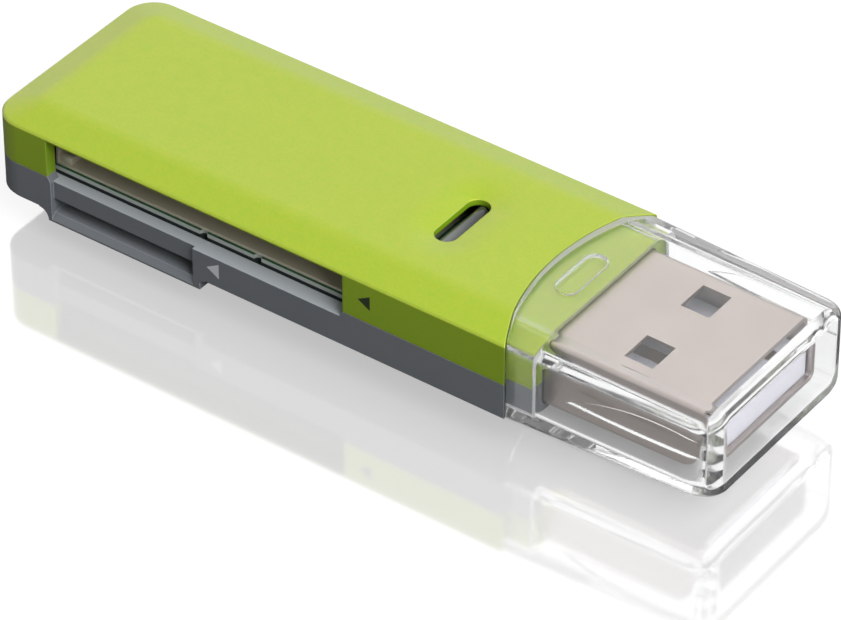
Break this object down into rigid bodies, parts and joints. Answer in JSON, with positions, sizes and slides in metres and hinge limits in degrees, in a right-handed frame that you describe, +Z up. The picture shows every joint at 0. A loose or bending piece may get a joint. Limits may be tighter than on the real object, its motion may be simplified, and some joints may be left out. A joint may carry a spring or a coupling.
{
  "type": "usb memory card reader",
  "caption": "Pocket card reader with a painted two-part casing, side slots for a large and a small memory card, a flat plug at one end and a clear pull-off cap over it.",
  "frame": {"origin": "middle of the bounding box on the flat underside", "axes": "+X along the length from the plain rear end towards the plug and cap, -Y the side with the card slots, +Z up through the painted face"},
  "size_m": [0.058, 0.0172, 0.0077],
  "materials": {
    "green_paint": "satin lime-green metallic paint on moulded plastic",
    "grey_plastic": "fine satin moulded slate grey",
    "clear_plastic": "polished clear moulding",
    "plug_steel": "nickel-plated sheet",
    "socket_steel": "nickel-plated stamped sheet",
    "pale_plastic": "smooth moulded off-white",
    "black_plastic": "moulded black",
    "gold_plate": "gold-plated spring sheet",
    "tin_plate": "tin-plated",
    "board": "solder-masked glass-fibre board",
    "amber_plastic": "moulded",
    "tan_ceramic": "fired, with tinned ends",
    "dark_ceramic": "coated, with tinned ends",
    "smoke_plastic": "polished translucent grey"
  },
  "bodies": {
    "reader": {"top_cover": "green_paint", "bottom_cover": "grey_plastic", "plug_shell": "plug_steel", "plug_insulator": "pale_plastic", "plug_contacts": "gold_plate", "circuit_board": "board", "large_card_shell": "socket_steel", "large_card_carrier": "black_plastic", "large_card_contacts": "gold_plate", "large_card_switches": "gold_plate", "small_card_shell": "socket_steel", "small_card_carrier": "black_plastic", "small_card_contacts": "gold_plate", "controller_chip": "black_plastic", "controller_leads": "tin_plate", "crystal_can": "tin_plate", "regulator": "black_plastic", "regulator_leads": "tin_plate", "bulk_capacitor": "amber_plastic", "ceramic_capacitors": "tan_ceramic", "chip_resistors": "dark_ceramic", "status_light": "pale_plastic", "light_pipe": "smoke_plastic"},
    "cap": {"cap": "clear_plastic"}
  },
  "joints": [
    {"name": "cap_slide", "type": "slide", "parent": "reader", "child": "cap", "axis": [1, 0, 0], "range_m": [0, 0.02]}
  ]
}
